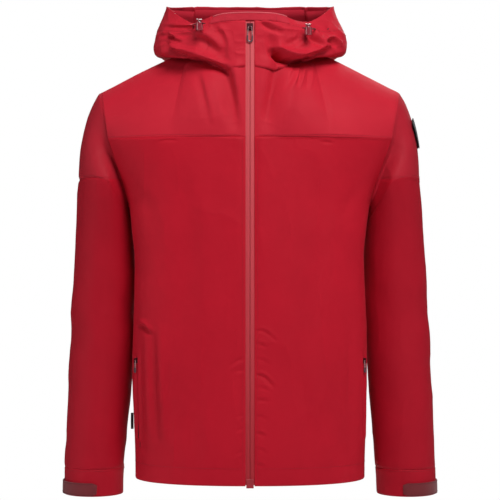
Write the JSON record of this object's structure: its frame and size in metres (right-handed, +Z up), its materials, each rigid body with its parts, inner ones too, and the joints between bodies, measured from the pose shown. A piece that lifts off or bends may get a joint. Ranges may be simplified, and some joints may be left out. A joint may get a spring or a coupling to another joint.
{
  "type": "hardshell jacket",
  "caption": "Hooded hardshell jacket with a full-length front zip, hood cord locks, side pocket zips and hook-and-loop cuff tabs.",
  "frame": {"origin": "inside top of the hang loop in the back of the neck, where a hook holds the jacket", "axes": "+Z up, +X towards the wearer's left sleeve, -Y out of the front zip"},
  "size_m": [0.6562, 0.3252, 0.8641],
  "materials": {
    "shell_upper": "lighter coated ripstop-free plain weave, matte with a soft sheen",
    "shell_lower": "coated plain weave, matte with a soft sheen",
    "lining": "matte knit lining",
    "zip_tape": "polyurethane-coated zip tape, satin",
    "zip_coil": "moulded nylon coil",
    "metal": "dark gunmetal",
    "pull_cord": "light grey braided cord",
    "pull_end": "soft moulded grip",
    "cord": "braided elastic drawcord",
    "lock_plastic": "dark maroon moulded plastic",
    "spring_steel": "bright wire",
    "tab": "maroon woven hook-and-loop",
    "label": "black woven, blank",
    "mesh": "dark warp-knit mesh"
  },
  "bodies": {
    "jacket": {"front_panel_left": "shell_lower", "front_panel_right": "shell_lower", "back_panel": "shell_lower", "sleeve_left": "shell_lower", "sleeve_right": "shell_lower", "cuff_left": "shell_lower", "cuff_right": "shell_lower", "front_yoke_left": "shell_upper", "front_yoke_right": "shell_upper", "back_yoke": "shell_upper", "sleeve_cap_left": "shell_upper", "sleeve_cap_right": "shell_upper", "collar_front_left": "shell_upper", "collar_front_right": "shell_upper", "hood_side_left": "shell_upper", "hood_side_right": "shell_upper", "hood_centre": "shell_upper", "chin_band": "lining", "hood_hem_left": "lining", "hood_hem_right": "lining", "hood_visor": "lining", "hem_facing": "lining", "storm_flap": "lining", "pocket_bag_left": "mesh", "pocket_bag_right": "mesh", "zip_tape_left": "zip_tape", "zip_tape_right": "zip_tape", "zip_coil_left": "zip_coil", "zip_coil_right": "zip_coil", "zip_box": "zip_coil", "pocket_tape_left": "zip_coil", "pocket_tape_right": "zip_coil", "cord_lock_body_left": "lock_plastic", "cord_lock_body_right": "lock_plastic", "cord_lock_spring_left": "spring_steel", "cord_lock_spring_right": "spring_steel", "hood_drawcord_left": "cord", "hood_drawcord_right": "cord", "hem_drawcord": "cord", "cuff_tab_base_left": "tab", "cuff_tab_base_right": "tab", "hang_loop": "tab", "neck_label": "label", "side_label": "label", "arm_patch": "label"},
    "main_slider": {"main_slider": "metal"},
    "main_pull": {"main_pull_cord": "pull_cord", "main_pull_end": "pull_end"},
    "pocket_slider_left": {"pocket_slider_left": "metal"},
    "pocket_pull_left": {"pocket_pull_left_cord": "pull_cord", "pocket_pull_left_end": "pull_end"},
    "cord_lock_button_left": {"cord_lock_button_left": "lock_plastic"},
    "cuff_tab_left": {"cuff_tab_left": "tab"},
    "pocket_slider_right": {"pocket_slider_right": "metal"},
    "pocket_pull_right": {"pocket_pull_right_cord": "pull_cord", "pocket_pull_right_end": "pull_end"},
    "cord_lock_button_right": {"cord_lock_button_right": "lock_plastic"},
    "cuff_tab_right": {"cuff_tab_right": "tab"}
  },
  "joints": [
    {"name": "main_zip_slide", "type": "slide", "parent": "jacket", "child": "main_slider", "axis": [0, -0.0569, -0.9984], "range_m": [0, 0.748]},
    {"name": "main_pull_swing", "type": "hinge", "parent": "main_slider", "child": "main_pull", "pos_m": [0, -0.17499, -0.00033], "axis": [-1, 0, 0], "range_deg": [0, 150]},
    {"name": "pocket_zip_slide_left", "type": "slide", "parent": "jacket", "child": "pocket_slider_left", "axis": [-0.0026, 0.0102, -0.9999], "range_m": [0, 0.12]},
    {"name": "pocket_pull_swing_left", "type": "hinge", "parent": "pocket_slider_left", "child": "pocket_pull_left", "pos_m": [0.19696, -0.13295, -0.56652], "axis": [-0.3846, -0.923, -0.0085], "range_deg": [0, 150]},
    {"name": "pocket_zip_slide_right", "type": "slide", "parent": "jacket", "child": "pocket_slider_right", "axis": [0.0026, 0.0102, -0.9999], "range_m": [0, 0.12]},
    {"name": "pocket_pull_swing_right", "type": "hinge", "parent": "pocket_slider_right", "child": "pocket_pull_right", "pos_m": [-0.19696, -0.13295, -0.56652], "axis": [-0.3846, 0.923, 0.0085], "range_deg": [0, 150]},
    {"name": "cord_lock_press_left", "type": "slide", "parent": "jacket", "child": "cord_lock_button_left", "axis": [0, 0, -1], "range_m": [0, 0.0025], "stiffness_N_per_m": 400, "springref_m": -0.0005, "deforming": ["cord_lock_spring_left"]},
    {"name": "cuff_tab_lift_left", "type": "hinge", "parent": "jacket", "child": "cuff_tab_left", "pos_m": [0.31578, -0.02441, -0.79], "axis": [0, 0, 1], "range_deg": [0, 110]},
    {"name": "cord_lock_press_right", "type": "slide", "parent": "jacket", "child": "cord_lock_button_right", "axis": [0, 0, -1], "range_m": [0, 0.0025], "stiffness_N_per_m": 400, "springref_m": -0.0005, "deforming": ["cord_lock_spring_right"]},
    {"name": "cuff_tab_lift_right", "type": "hinge", "parent": "jacket", "child": "cuff_tab_right", "pos_m": [-0.31578, -0.02441, -0.79], "axis": [0, 0, -1], "range_deg": [0, 110]}
  ]
}
